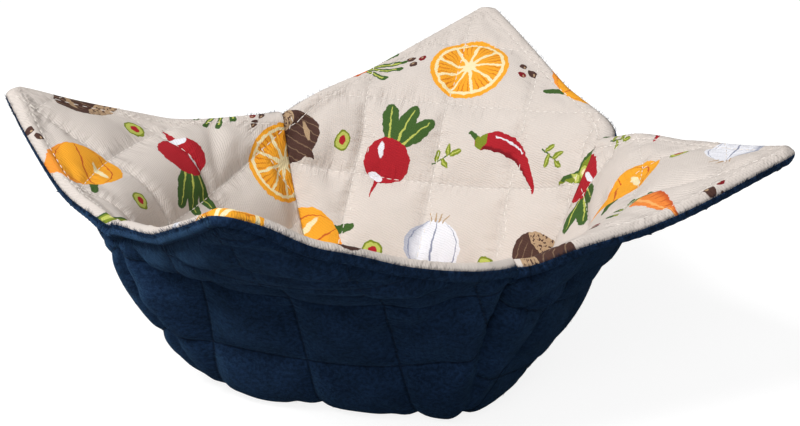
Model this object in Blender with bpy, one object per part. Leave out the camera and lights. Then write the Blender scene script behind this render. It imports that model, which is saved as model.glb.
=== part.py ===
# Quilted fabric bowl cozy: a square pad of two cloths and two battings, darted into a four-cornered bowl.
# Metres, +Z up. The cloth corners point along +-X and +-Y, and the origin is under the middle of the
# overall box, on the surface that the cozy stands on.

import math

import bmesh
import bpy
import numpy as np
from mathutils import Vector

# Flat pattern, measured from the centre of the square along its diagonals
HALF_DIAGONAL = 0.170
QUILT_PITCH = 0.030
QUILT_OFFSET = -0.005
CUTS_PER_PITCH = 3
DART_POINT = 0.0366
DART_HALF_OPENING = 0.0158
CORNER_BLUNT = 0.0025

# Pad thickness
CLOTH = 0.0009
LOFT_STITCHED = 0.0010
LOFT_FULL = 0.0040
LOFT_PRESSED = 0.0020
LAYER_GAP = 0.0003
RIM_HALF_THICKNESS = 0.0020
SEAM_FADE = 0.010

# Draped form
FLAT_HALF_WIDTH = 0.045
BASE_BEND = 0.0091
FLARE_BEND = 0.0089
HUMP_AT = 0.078
HUMP_WIDTH = 0.016
SEAM_RISE_BEFORE = 0.003
SEAM_RISE_AFTER = 0.012
SEAM_TURN_START = 0.050
SEAM_TURN_END = 0.110
CROSS_POWER = 2.2
FLAP_RELAX = 0.031
TIP_PULL = -0.08
LEAN_START = 0.100
LEAN_LENGTH = 0.080
# For each flap: where the base ends, degrees of the wall and of the flare, where the flare folds out,
# degrees added part way up the wall, and how far the corner leans to one side
FLAPS = {
    "front": {"base": 0.0447, "wall": 65.3, "flare": 35.9, "fold": 0.0930, "hump": -1.5, "lean": -0.0017},
    "back": {"base": 0.0415, "wall": 59.5, "flare": 31.1, "fold": 0.1110, "hump": -7.9, "lean": -0.0049},
    "left": {"base": 0.0530, "wall": 57.3, "flare": 29.7, "fold": 0.1096, "hump": 2.2, "lean": -0.0044},
    "right": {"base": 0.0451, "wall": 56.8, "flare": 23.7, "fold": 0.1129, "hump": 6.4, "lean": 0.0051},
}
# Degrees of each dart seam near its point and near the rim
SEAMS = {
    "front_right": {"low": 73.3, "high": 43.1},
    "front_left": {"low": 57.5, "high": 62.5},
    "back_left": {"low": 57.1, "high": 75.4},
    "back_right": {"low": 70.0, "high": 61.4},
}
# The seam on the side of each flap where the distance across is below zero, and the other one
SEAMS_OF = {
    "front": ("front_left", "front_right"),
    "back": ("back_left", "back_right"),
    "left": ("front_left", "back_left"),
    "right": ("front_right", "back_right"),
}

# Worked out from the values above
CELL = QUILT_PITCH / CUTS_PER_PITCH
DART_RIM_NEAR = HALF_DIAGONAL / 2 - DART_HALF_OPENING
DART_RIM_FAR = HALF_DIAGONAL / 2 + DART_HALF_OPENING
DART_DEPTH = DART_RIM_FAR - DART_POINT
DART_SPREAD = (DART_RIM_NEAR - DART_POINT) / DART_DEPTH
BATTING_EDGE = HALF_DIAGONAL - CELL
PAD_DEPTH = LAYER_GAP / 2 + LOFT_PRESSED + LAYER_GAP + CLOTH
STEP = 0.001
STATIONS = np.arange(0, HALF_DIAGONAL + 2 * STEP, STEP)
QUADRANTS = [(1, 1), (-1, 1), (-1, -1), (1, -1)]


def smooth(value, start, end):
    share = np.clip((value - start) / (end - start), 0, 1)
    return share * share * (3 - 2 * share)


def running_sum(rates):
    return np.concatenate([[0], np.cumsum((rates[1:] + rates[:-1]) / 2 * STEP)])


def centre_profile(flap):
    """Slope, reach and height along the middle of one flap, from the centre of the base to the corner."""
    wall, flare, hump = (math.radians(flap[key]) for key in ("wall", "flare", "hump"))
    slope = wall * smooth(STATIONS, flap["base"] - BASE_BEND, flap["base"] + BASE_BEND)
    slope += hump * np.exp(-(((STATIONS - HUMP_AT) / HUMP_WIDTH) ** 2))
    slope += (flare - wall) * smooth(STATIONS, flap["fold"] - FLARE_BEND, flap["fold"] + FLARE_BEND)
    return slope, running_sum(np.cos(slope)), running_sum(np.sin(slope))


def seam_profile(seam):
    """Slope, reach along each axis and height of a sewn dart, by distance out on the flat pattern."""
    low, high = math.radians(seam["low"]), math.radians(seam["high"])
    rise = low + (high - low) * smooth(STATIONS, SEAM_TURN_START, SEAM_TURN_END)
    rise *= smooth(STATIONS, DART_POINT - SEAM_RISE_BEFORE, DART_POINT + SEAM_RISE_AFTER)
    stretch = np.where(STATIONS > DART_POINT, math.hypot(1, DART_SPREAD), math.sqrt(2))
    reach = running_sum(stretch * np.cos(rise) / math.sqrt(2))
    return rise, reach, running_sum(stretch * np.sin(rise))


CENTRE = {name: centre_profile(flap) for name, flap in FLAPS.items()}
SEAM = {name: seam_profile(seam) for name, seam in SEAMS.items()}


def tip_reach(name):
    return float(np.interp(HALF_DIAGONAL - CORNER_BLUNT, STATIONS, CENTRE[name][1]))


MIDDLE_X = (tip_reach("right") - tip_reach("left")) / 2
MIDDLE_Y = (tip_reach("back") - tip_reach("front")) / 2


def half_width(out):
    """Half the width of a flap at a distance out from the centre, between its two dart legs."""
    if out < DART_POINT:
        return out
    return DART_POINT + (min(out, DART_RIM_FAR) - DART_POINT) * DART_SPREAD


def flap_at(x, y):
    if abs(y) >= abs(x):
        return ("back" if y > 0 else "front"), x, abs(y)
    return ("right" if x > 0 else "left"), y, abs(x)


def drape(x, y, depth):
    """The place in the bowl of a point of the flat pattern, depth towards the inside from the middle."""
    name, across, out = flap_at(x, y)
    slope, reach, height = (np.interp(out, STATIONS, values) for values in CENTRE[name])
    seam = SEAM[SEAMS_OF[name][0 if across < 0 else 1]]
    rise, seam_reach, seam_height = (np.interp(out, STATIONS, values) for values in seam)
    reach -= depth * math.sin(slope)
    height += depth * math.cos(slope)
    wall = math.atan(math.tan(rise) * math.sqrt(2))
    mitre = 1 / (1 + math.cos(wall) ** 2)
    seam_reach -= depth * math.sin(wall) * mitre
    seam_height += depth * 2 * math.cos(wall) * mitre
    width = max(half_width(out), STEP)
    share = min(abs(across) / width, 1) ** CROSS_POWER
    relaxed = min(max((out - DART_RIM_FAR) / FLAP_RELAX, 0), 1)
    reach += (seam_reach - reach) * share * (1 - TIP_PULL * relaxed)
    height += (seam_height - height) * share * (1 - relaxed)
    across += math.copysign(1, across) * (seam_reach - width) * share * (1 - relaxed)
    across += FLAPS[name]["lean"] * min(max((out - LEAN_START) / LEAN_LENGTH, 0), 1) ** 2
    place = {
        "back": (across, reach),
        "front": (across, -reach),
        "right": (reach, across),
        "left": (-reach, across),
    }[name]
    return place[0] - MIDDLE_X, place[1] - MIDDLE_Y, height + PAD_DEPTH


def dart_distance(x, y):
    """Distance on the flat pattern from the nearest dart leg, or from the dart's point."""
    _, across, out = flap_at(x, y)
    if out < DART_POINT:
        return math.hypot(DART_POINT - abs(across), DART_POINT - out)
    return (half_width(out) - abs(across)) / math.hypot(1, DART_SPREAD)


def loft(x, y):
    """Thickness of one batting: full in the middle of a quilted diamond, pinched at the stitching."""
    waves = [math.sin(math.pi * (value - QUILT_OFFSET) / QUILT_PITCH) for value in (x, y)]
    quilt = math.sqrt(abs(waves[0] * waves[1]))
    free = min(max(dart_distance(x, y), 0) / SEAM_FADE, 1)
    return LOFT_STITCHED + (LOFT_FULL - LOFT_STITCHED) * quilt * free


def outer_loft(x, y):
    """As loft, but pressed to an even thickness under the base, which stands flat."""
    out = max(abs(x), abs(y))
    raised = float(smooth(out, FLAT_HALF_WIDTH, FLAT_HALF_WIDTH + 2 * CELL))
    return LOFT_PRESSED + (loft(x, y) - LOFT_PRESSED) * raised


def batting_faces(thickness):
    def near(x, y):
        return LAYER_GAP / 2

    def far(x, y):
        return LAYER_GAP / 2 + thickness(x, y)

    return near, far


def cloth_faces(thickness):
    """The cloth lies on its batting, and folds in to meet the other cloth at the rim."""

    def at_rim(x, y):
        return abs(x) + abs(y) > BATTING_EDGE + CELL / 4

    def near(x, y):
        return LAYER_GAP / 2 if at_rim(x, y) else LAYER_GAP / 2 + thickness(x, y) + LAYER_GAP

    def far(x, y):
        return RIM_HALF_THICKNESS if at_rim(x, y) else near(x, y) + CLOTH

    return near, far


def cut(mesh, faces, place, direction, clear=False):
    geometry = set(faces)
    for face in faces:
        geometry.update(face.edges)
        geometry.update(face.verts)
    bmesh.ops.bisect_plane(
        mesh,
        geom=list(geometry),
        dist=STEP / 100,
        plane_co=place,
        plane_no=direction,
        clear_outer=clear,
    )


def cut_dart(mesh, side_x, side_y):
    """Cuts the wedge whose point is inside the square and whose mouth is the middle of one edge."""
    point = (side_x * DART_POINT, side_y * DART_POINT, 0)
    legs = [(side_x * DART_SPREAD, -side_y, 0), (-side_x, side_y * DART_SPREAD, 0)]

    def corner_faces():
        centres = [(face, face.calc_center_median()) for face in mesh.faces]
        return [f for f, c in centres if side_x * c.x > DART_POINT and side_y * c.y > DART_POINT]

    def inside(face):
        offset = face.calc_center_median() - Vector(point)
        return all(offset.dot(Vector(leg)) < 0 for leg in legs)

    for leg in legs:
        cut(mesh, corner_faces(), point, leg)
    wedge = [face for face in corner_faces() if inside(face)]
    bmesh.ops.delete(mesh, geom=wedge, context="FACES")


def flat_pattern(edge):
    """The square, cut to its rim, with its four darts cut out and a mesh line along every stitch line."""
    mesh = bmesh.new()
    cells = 2 * math.ceil(HALF_DIAGONAL / CELL) + 2
    bmesh.ops.create_grid(mesh, x_segments=cells, y_segments=cells, size=cells * CELL / 2)
    bmesh.ops.translate(mesh, vec=(QUILT_OFFSET, QUILT_OFFSET, 0), verts=mesh.verts[:])
    for side_x, side_y in QUADRANTS:
        outwards = (side_x, side_y, 0)
        cut(mesh, mesh.faces[:], (side_x * HALF_DIAGONAL, 0, 0), outwards, clear=True)
        cut(mesh, mesh.faces[:], (side_x * BATTING_EDGE, 0, 0), outwards)
    for side in (-1, 1):
        for axis in ((side, 0, 0), (0, side, 0)):
            tip = [(HALF_DIAGONAL - CORNER_BLUNT) * share for share in axis]
            cut(mesh, mesh.faces[:], tip, axis, clear=True)
            cut(mesh, mesh.faces[:], [DART_POINT * share for share in axis], axis)
    for side_x, side_y in QUADRANTS:
        cut_dart(mesh, side_x, side_y)
    bmesh.ops.triangulate(mesh, faces=mesh.faces[:], quad_method="FIXED", ngon_method="EAR_CLIP")
    centres = [(face, face.calc_center_median()) for face in mesh.faces]
    beyond = [face for face, centre in centres if abs(centre.x) + abs(centre.y) > edge]
    bmesh.ops.delete(mesh, geom=beyond, context="FACES")
    return mesh


def draped_layer(name, faces, side, edge, colour, roughness, collection):
    """One layer of the pad. side is 1 for a layer towards the inside of the bowl and -1 for the outside."""
    near, far = faces
    mesh = flat_pattern(edge)
    pattern = mesh.verts.layers.float_vector.new("pattern")
    for vert in mesh.verts:
        vert[pattern] = vert.co
        vert.co = drape(vert.co.x, vert.co.y, side * near(vert.co.x, vert.co.y))
    # The legs of each dart now lie on each other, and are sewn
    bmesh.ops.remove_doubles(mesh, verts=mesh.verts[:], dist=STEP / 100)
    grown = bmesh.ops.extrude_face_region(mesh, geom=mesh.faces[:])["geom"]
    for item in grown:
        if isinstance(item, bmesh.types.BMVert):
            x, y, _ = item[pattern]
            item.co = drape(x, y, side * far(x, y))
    bmesh.ops.recalc_face_normals(mesh, faces=mesh.faces[:])
    data = bpy.data.meshes.new(name)
    mesh.to_mesh(data)
    mesh.free()
    data.shade_smooth()
    data.materials.append(fabric(name, colour, roughness))
    layer = bpy.data.objects.new(name, data)
    collection.objects.link(layer)
    return layer


def fabric(name, colour, roughness):
    material = bpy.data.materials.new(name)
    material.use_nodes = True
    shader = material.node_tree.nodes["Principled BSDF"]
    shader.inputs["Base Color"].default_value = (*colour, 1)
    shader.inputs["Roughness"].default_value = roughness
    shader.inputs["Metallic"].default_value = 0
    return material


def main():
    for old in list(bpy.data.objects):
        bpy.data.objects.remove(old, do_unlink=True)
    cozy = bpy.data.collections.new("bowl_cozy")
    bpy.context.scene.collection.children.link(cozy)
    navy = (0.006, 0.021, 0.058)
    beige = (0.68, 0.61, 0.52)
    cotton = (0.82, 0.79, 0.72)
    draped_layer("outer_cover", cloth_faces(outer_loft), -1, HALF_DIAGONAL, navy, 0.95, cozy)
    draped_layer("outer_batting", batting_faces(outer_loft), -1, BATTING_EDGE, cotton, 1, cozy)
    draped_layer("lining_batting", batting_faces(loft), 1, BATTING_EDGE, cotton, 1, cozy)
    draped_layer("lining", cloth_faces(loft), 1, HALF_DIAGONAL, beige, 0.9, cozy)


main()
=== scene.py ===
import math

import bmesh
import bpy
import numpy as np
from mathutils import Matrix, Vector
from mathutils.bvhtree import BVHTree


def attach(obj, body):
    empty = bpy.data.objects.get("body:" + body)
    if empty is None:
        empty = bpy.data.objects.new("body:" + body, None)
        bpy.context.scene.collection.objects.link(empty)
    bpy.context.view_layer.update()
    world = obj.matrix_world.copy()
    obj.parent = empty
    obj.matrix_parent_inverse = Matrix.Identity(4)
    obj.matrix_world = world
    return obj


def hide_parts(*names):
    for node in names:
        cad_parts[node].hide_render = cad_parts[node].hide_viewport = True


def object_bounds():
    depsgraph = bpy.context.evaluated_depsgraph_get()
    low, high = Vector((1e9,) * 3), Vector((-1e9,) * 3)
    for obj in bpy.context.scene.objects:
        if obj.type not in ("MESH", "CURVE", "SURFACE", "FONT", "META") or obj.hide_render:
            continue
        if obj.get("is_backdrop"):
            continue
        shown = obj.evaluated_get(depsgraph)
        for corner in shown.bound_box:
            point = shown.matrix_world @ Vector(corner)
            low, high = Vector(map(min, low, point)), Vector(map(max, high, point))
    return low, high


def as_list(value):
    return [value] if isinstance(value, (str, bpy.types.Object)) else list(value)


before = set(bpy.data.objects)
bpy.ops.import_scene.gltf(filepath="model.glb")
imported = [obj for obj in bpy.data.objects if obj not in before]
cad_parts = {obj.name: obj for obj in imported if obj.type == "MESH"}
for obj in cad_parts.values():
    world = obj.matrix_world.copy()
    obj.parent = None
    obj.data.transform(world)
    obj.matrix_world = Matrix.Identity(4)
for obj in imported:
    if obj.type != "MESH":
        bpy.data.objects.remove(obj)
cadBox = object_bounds()
print("frame loaded")

# The flat square that both cloths are cut to, measured from its centre along the diagonals
square = {
    "halfDiagonal": 0.170,
    "cornerRadius": 0.006,
    "cell": 0.0025,             # mesh cells, a whole number of them to the quilting pitch
    "pitch": 0.030,             # between quilting lines
    "quiltX": -0.005,           # where one quilting line of each family runs
    "quiltY": -0.005,
    "dartPoint": 0.0366,
    "dartHalfOpening": 0.0158,
    "topstitch": 0.0048,        # in from the rim
    "rimCuts": (0.0007, 0.0020, 0.0035, 0.0048, 0.0061),
}

# How the square is bent up into a bowl
bowl = {
    "padDepth": 0.00335,        # from the floor to the middle of the pad
    "baseBend": 0.0091,
    "flareBend": 0.0089,
    "humpAt": 0.078,            # a slight change of slope part way up each wall
    "humpWidth": 0.016,
    "seamLow": 0.050,           # the seams' two slopes blend between these
    "seamHigh": 0.110,
    "seamFrom": -0.003,         # and start round the dart point
    "seamFull": 0.012,
    "leanFrom": 0.100,
    "leanLength": 0.080,
    "crossPower": 2.20,         # how square the walls are between their seams
    "relax": 0.031,             # a flap lies free of its seams this far past them
    "pull": -0.08,
}

# Slopes in degrees; base, fold and lean in metres
flaps = {
    "front": {"base": 0.0447, "wall": 65.3, "flare": 35.9, "fold": 0.0930, "hump": -1.5, "lean": -0.0017},
    "back": {"base": 0.0415, "wall": 59.5, "flare": 31.1, "fold": 0.1110, "hump": -7.9, "lean": -0.0049},
    "left": {"base": 0.0530, "wall": 57.3, "flare": 29.7, "fold": 0.1096, "hump": 2.2, "lean": -0.0044},
    "right": {"base": 0.0451, "wall": 56.8, "flare": 23.7, "fold": 0.1129, "hump": 6.4, "lean": 0.0051},
}
seams = {
    "frontRight": {"low": 73.3, "high": 43.1},
    "frontLeft": {"low": 57.5, "high": 62.5},
    "backLeft": {"low": 57.1, "high": 75.4},
    "backRight": {"low": 70.0, "high": 61.4},
}
facing = {"front": (0, -1), "back": (0, 1), "left": (-1, 0), "right": (1, 0)}
seamsOf = {
    "front": ("frontLeft", "frontRight"),
    "back": ("backLeft", "backRight"),
    "left": ("frontLeft", "backLeft"),
    "right": ("frontRight", "backRight"),
}

# Half the thickness of the pad, from its middle to the face of a cloth, and where on the square it changes
pad = {
    "cloth": 0.0008,
    "spare": 0.0004,            # least room under a cloth
    "offFloor": 0.0002,
    "rimRoll": 0.0024,          # the rim rounds over this far in
    "rimSeam": -0.0006,         # the lining comes over the edge to the outside
    "topstitchHalf": 0.0011,
    "rimFlat": 0.0085,          # the rim's own thickness ends this far in
    "foldFree": 0.010,
    "freeFrom": 0.014,
    "puffPower": 0.38,
    "uneven": 0.16,
    "unevenX": (95, 1.3),       # waves to the metre, and their start
    "unevenY": (83, 0.7),
    "flapFrom": 0.096,
    "flapFull": 0.116,
    "wallFrom": 0.044,
    "wallFull": 0.072,
    "besideSeamAt": 0.0065,
    "besideSeamHalf": 0.0040,
}
outerFace = {
    "stitched": 0.0025,
    "full": 0.0049,
    "seam": 0.0011,
    "seamFade": 0.0036,
    "rim": 0.0030,
    "topstitched": 0.0009,
    "besideSeam": 0.0016,
    "flapCalm": 0.60,           # how much flatter the quilting lies on the loose flaps
    "crease": 0.8,
}
liningFace = {
    "stitched": 0.0019,
    "full": 0.0046,
    "seam": 0.0019,
    "seamFade": 0.0090,
    "rim": 0.0023,
    "topstitched": 0.0021,
    "besideSeam": 0.0,
    "flapCalm": 0.30,
    "crease": 0.5,
}


# A fold of the loose cloth, along a path on the flat square, all in millimetres
def fold(path, **sizes):
    sizes = {label: size / 1000 for label, size in sizes.items()}
    return {"path": [(x / 1000, y / 1000) for x, y in path], **sizes}


# A plain ridge, or a hollow where its lift is below 0
def wrinkle(lift, width, *path):
    return fold(path, lift=lift, width=width)


# Hangs over towards the base: it slides down by slide, falls off above, and dips the cloth under it
def lip(lift, dip, under, slide, fall, *path):
    return fold(path, lift=lift, dip=dip, under=under, slide=slide, fall=fall)


outerFolds = [
    lip(7.8, 4.6, 8.0, 5.4, 8.0, (64, -103), (52, -111), (38, -114.5), (27, -117.5), (9, -119.5), (-4, -120),
        (-18, -117), (-32, -111), (-48, -103), (-64, -101)),
    lip(2.2, 1.4, 2.5, 1.6, 4.5, (44, -120), (29, -129), (10, -135), (-8, -134), (-30, -126), (-44, -117)),
    lip(1.8, 1.2, 2.5, 1.2, 4.0, (28, -138), (16, -147), (2, -150), (-12, -147), (-24, -138)),
    lip(1.4, 1.2, 3.0, 0.0, 6.0, (74, -58), (94, -47), (98, -30), (99, -10)),
    wrinkle(1.4, 3.2, (18, -83), (27, -89), (37, -97), (47, -105)),
    wrinkle(-1.2, 3.0, (30, -81), (40, -88), (50, -96)),
    wrinkle(1.2, 3.2, (-58, -86), (-46, -75), (-38, -64)),
    wrinkle(1.0, 3.0, (-34, -58), (-26, -48), (-12, -40)),
    wrinkle(-1.0, 3.0, (0, -62), (10, -52), (24, -46)),
    wrinkle(1.6, 4.2, (60, -90), (55, -76), (48, -62), (42, -52)),
    wrinkle(1.1, 2.8, (72, -50), (82, -44), (94, -43)),
    wrinkle(-1.0, 3.0, (56, -34), (66, -20), (84, -14)),
    wrinkle(-1.1, 3.6, (-90, -40), (-78, -20), (-62, -10)),
    wrinkle(1.2, 3.4, (-100, -28), (-88, -6), (-80, 16)),
    wrinkle(1.2, 3.6, (-34, 78), (-10, 92), (16, 96)),
    wrinkle(1.2, 3.6, (82, 40), (92, 20), (94, -2)),
]
liningFolds = [
    wrinkle(-1.6, 2.8, (-150, 16), (-135, 40), (-120, 46), (-108, 37), (-96, 26)),
    wrinkle(1.2, 4.0, (-126, 34), (-111, 26), (-98, 14)),
    wrinkle(1.4, 2.6, (34, 112), (47, 94), (57, 76), (66, 60)),
    wrinkle(-1.0, 2.2, (48, 104), (58, 86), (64, 72)),
    wrinkle(1.2, 3.0, (104, 62), (109, 49), (119, 28)),
    wrinkle(-1.2, 2.6, (94, 50), (98, 34), (92, 22)),
    wrinkle(1.1, 2.6, (-64, 104), (-55, 89), (-53, 72)),
    wrinkle(-0.9, 3.0, (-50, 106), (-44, 88), (-41, 70)),
    wrinkle(1.0, 2.6, (-94, 60), (-84, 50), (-70, 46)),
    wrinkle(1.0, 2.8, (-92, -58), (-82, -46), (-80, -26)),
    wrinkle(1.0, 2.6, (52, -86), (44, -76), (30, -72)),
]
lipEdge = {"start": -0.0010, "end": 0.0030, "dipAt": -0.0012, "slideDepth": 0.003}
foldEnds = 0.2                  # the share of a fold's length that it fades over at each end

# The two sheets of wadding between the cloths
wadding = {
    "cell": 0.005,
    "edge": 0.006,              # how far they stop short of the rim
    "gap": 0.0002,
    "spare": 0.0003,
    "fullness": 0.5,
    "dip": 1.3,                 # they stay further in where a cloth dips, and don't rise in its folds
}

step = 0.001                    # of the tables that the curves are read from
stations = np.arange(0, 0.215, step)
dartNear = square["halfDiagonal"] / 2 - square["dartHalfOpening"]
dartFar = square["halfDiagonal"] / 2 + square["dartHalfOpening"]
dartSpread = (dartNear - square["dartPoint"]) / (dartFar - square["dartPoint"])


def smooth(place, start, end):
    share = np.clip((place - start) / (end - start), 0, 1)
    return share * share * (3 - 2 * share)


def bell(away, width):
    return np.exp(-(away / width) ** 2)


def runningSum(rates):
    return np.concatenate([[0], np.cumsum((rates[1:] + rates[:-1]) / 2 * step)])


def centreLine(flap):
    wall, flare, hump = (math.radians(flap[key]) for key in ("wall", "flare", "hump"))
    slope = wall * smooth(stations, flap["base"] - bowl["baseBend"], flap["base"] + bowl["baseBend"])
    slope += hump * bell(stations - bowl["humpAt"], bowl["humpWidth"])
    turn = smooth(stations, flap["fold"] - bowl["flareBend"], flap["fold"] + bowl["flareBend"])
    slope += (flare - wall) * turn
    return slope, runningSum(np.cos(slope)), runningSum(np.sin(slope))


def seamLine(seam):
    low, high = math.radians(seam["low"]), math.radians(seam["high"])
    rise = low + (high - low) * smooth(stations, bowl["seamLow"], bowl["seamHigh"])
    rise = rise * smooth(stations - square["dartPoint"], bowl["seamFrom"], bowl["seamFull"])
    stretch = np.where(stations > square["dartPoint"], math.hypot(1, dartSpread), math.sqrt(2))
    reach = runningSum(stretch * np.cos(rise) / math.sqrt(2))
    return rise, reach, runningSum(stretch * np.sin(rise))


centreLines = {name: centreLine(flap) for name, flap in flaps.items()}
seamLines = {name: seamLine(seam) for name, seam in seams.items()}


def tipReach(name):
    apex = square["halfDiagonal"] - (math.sqrt(2) - 1) * square["cornerRadius"]
    return float(np.interp(apex, stations, centreLines[name][1]))


# The middle of the base in the frame, whose origin is midway between the corners
middleX = (tipReach("left") - tipReach("right")) / 2
middleY = (tipReach("front") - tipReach("back")) / 2


def halfWidth(out):
    wide = square["dartPoint"] + (np.minimum(out, dartFar) - square["dartPoint"]) * dartSpread
    return np.where(out < square["dartPoint"], out, wide)


# Which flap each point of the flat square is on, how far across it and how far out
def onFlap(name, x, y):
    upright = np.abs(y) >= np.abs(x)
    return {
        "front": (upright & (y <= 0), x, -y),
        "back": (upright & (y > 0), x, y),
        "left": (~upright & (x <= 0), y, -x),
        "right": (~upright & (x > 0), y, x),
    }[name]


# Places on the flat square where the bowl is fuller or a flap hangs askew: reach of the change, and the shift
nudges = (
    ((0.138, -0.028), 0.021, (0.0, 0.0, -0.0016)),
    ((0.128, 0.036), 0.026, (0.0, 0.0, 0.0028)),
    ((-0.130, -0.032), 0.024, (-0.0008, 0.0, -0.0020)),
    ((-0.160, 0.0), 0.012, (0.0, 0.0, 0.0012)),
    ((0.056, 0.108), 0.030, (0.0026, 0.0, 0.0006)),
    ((-0.064, 0.104), 0.022, (0.0, 0.0, -0.0022)),
    ((-0.064, -0.022), 0.024, (-0.0044, 0.0, -0.0012)),
    ((-0.044, -0.056), 0.018, (-0.0016, -0.0010, 0.0)),
    ((0.008, -0.156), 0.012, (0.0, 0.0, 0.0012)),
    ((0.018, -0.150), 0.010, (0.0, 0.0, -0.0015)),
    ((0.110, -0.060), 0.018, (0.0, 0.0, -0.0008)),
)


# Signed distance from a path, outwards positive for one that runs clockwise, and a share that fades at its ends
def fromPath(x, y, path):
    nearest, share = np.full(len(x), 1.0), np.zeros(len(x))
    for number, ((startX, startY), (endX, endY)) in enumerate(zip(path, path[1:])):
        runX, runY = endX - startX, endY - startY
        along = np.clip(((x - startX) * runX + (y - startY) * runY) / (runX ** 2 + runY ** 2), 0, 1)
        offX, offY = x - startX - along * runX, y - startY - along * runY
        away = np.hypot(offX, offY)
        nearer = away < np.abs(nearest)
        turned = np.where(runX * offY - runY * offX < 0, -1, 1)
        nearest = np.where(nearer, away * turned, nearest)
        share = np.where(nearer, (number + along) / (len(path) - 1), share)
    return nearest, smooth(share, 0, foldEnds) * smooth(1 - share, 0, foldEnds)


def foldLift(x, y, folds):
    lift, slide = np.zeros(len(x)), np.zeros(len(x))
    for fold in folds:
        away, ends = fromPath(x, y, fold["path"])
        if "fall" in fold:
            rise = smooth(away, lipEdge["start"], lipEdge["end"])
            rise = rise * np.exp(-np.maximum(away - lipEdge["end"], 0) / fold["fall"])
            dip = fold["dip"] * bell(away - lipEdge["dipAt"], fold["under"])
            lift += ends * (fold["lift"] * rise - dip)
            slide += ends * fold["slide"] * rise
        else:
            lift += ends * fold["lift"] * bell(away, fold["width"])
    return lift, slide


# The place in the bowl of points of the flat square, depth towards the inside from the middle of the pad
def drape(x, y, depth):
    x, y = np.asarray(x, float), np.asarray(y, float)
    depth = np.broadcast_to(np.asarray(depth, float), x.shape)
    y = y + foldLift(x, y, outerFolds)[1] * np.clip(-depth / lipEdge["slideDepth"], 0, 1)
    place = np.zeros((len(x), 3))
    for name in flaps:
        here, across, out = onFlap(name, x, y)
        across, out, deep = across[here], out[here], depth[here]
        slope, reach, height = (np.interp(out, stations, line) for line in centreLines[name])
        first, second = (seamLines[seam] for seam in seamsOf[name])
        rise, seamReach, seamHeight = (
            np.where(across < 0, np.interp(out, stations, one), np.interp(out, stations, other))
            for one, other in zip(first, second)
        )
        reach = reach - deep * np.sin(slope)
        height = height + deep * np.cos(slope)
        wall = np.arctan(np.tan(rise) * math.sqrt(2))
        mitre = 1 / (1 + np.cos(wall) ** 2)
        seamReach = seamReach - deep * np.sin(wall) * mitre
        seamHeight = seamHeight + deep * 2 * np.cos(wall) * mitre
        width = np.maximum(halfWidth(out), step)
        share = np.minimum(np.abs(across) / width, 1) ** bowl["crossPower"]
        free = np.clip((out - dartFar) / bowl["relax"], 0, 1)
        reach = reach + (seamReach - reach) * share * (1 - bowl["pull"] * free)
        height = height + (seamHeight - height) * share * (1 - free)
        lean = flaps[name]["lean"] * np.clip((out - bowl["leanFrom"]) / bowl["leanLength"], 0, 1) ** 2
        across = across + np.sign(across) * (seamReach - width) * share * (1 - free) + lean
        outX, outY = facing[name]
        place[here, 0] = middleX + (outX * reach if outX else across)
        place[here, 1] = middleY + (outY * reach if outY else across)
        place[here, 2] = height + bowl["padDepth"]
    for (centreX, centreY), reach, shift in nudges:
        place += bell(np.hypot(x - centreX, y - centreY), reach)[:, None] * np.array(shift)
    return place


# Distance on the flat square in from the rim, with its corners rounded
def fromRim(x, y):
    long, short = np.maximum(np.abs(x), np.abs(y)), np.minimum(np.abs(x), np.abs(y))
    straight = (square["halfDiagonal"] - long - short) / math.sqrt(2)
    middle = square["halfDiagonal"] - square["cornerRadius"] * math.sqrt(2)
    rounded = square["cornerRadius"] - np.hypot(long - middle, short)
    return np.where(long - middle > short, np.minimum(straight, rounded), straight)


# Distance on the flat square from the nearest dart leg or dart point
def fromDart(x, y):
    long, short = np.maximum(np.abs(x), np.abs(y)), np.minimum(np.abs(x), np.abs(y))
    point = square["dartPoint"]
    leg = (halfWidth(long) - short) / math.hypot(1, dartSpread)
    return np.where(long < point, np.hypot(point - short, point - long), leg)


def quilted(x, y):
    alongX = np.sin(math.pi * (x - square["quiltX"]) / square["pitch"])
    alongY = np.sin(math.pi * (y - square["quiltY"]) / square["pitch"])
    (waveX, startX), (waveY, startY) = pad["unevenX"], pad["unevenY"]
    uneven = 1 + pad["uneven"] * np.sin(waveX * x + startX) * np.cos(waveY * y + startY)
    return np.abs(alongX * alongY) ** pad["puffPower"] * uneven


# From the middle of the pad to the face of a cloth, fullness from 0, pinched flat, to 1
def faceDepth(x, y, side, fullness, filling=False):
    face, folds = (outerFace, outerFolds) if side < 0 else (liningFace, liningFolds)
    rim, dart, out = fromRim(x, y), fromDart(x, y), np.maximum(np.abs(x), np.abs(y))
    seam = smooth(dart, 0.0003, face["seamFade"])
    free = seam * smooth(rim, square["topstitch"], pad["freeFrom"])
    free = free * (1 - face["flapCalm"] * smooth(out, pad["flapFrom"], pad["flapFull"]))
    depth = face["stitched"] + (face["full"] - face["stitched"]) * quilted(x, y) * free * fullness
    depth = depth + (face["seam"] - face["stitched"]) * (1 - seam)
    upWall = smooth(out, pad["wallFrom"], pad["wallFull"])
    depth = depth + face["besideSeam"] * upWall * bell(dart - pad["besideSeamAt"], pad["besideSeamHalf"])
    sewn = bell(rim - square["topstitch"], pad["topstitchHalf"])
    edge = face["rim"] + (face["topstitched"] - face["rim"]) * sewn
    depth = edge + (depth - edge) * smooth(rim, square["topstitch"], pad["rimFlat"])
    folded = foldLift(x, y, folds)[0]
    if filling:
        folded = np.minimum(folded, 0) * wadding["dip"]
    depth = depth + folded * smooth(rim, square["topstitch"], pad["foldFree"]) * seam
    return np.maximum(depth, pad["cloth"] + pad["spare"])


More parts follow.
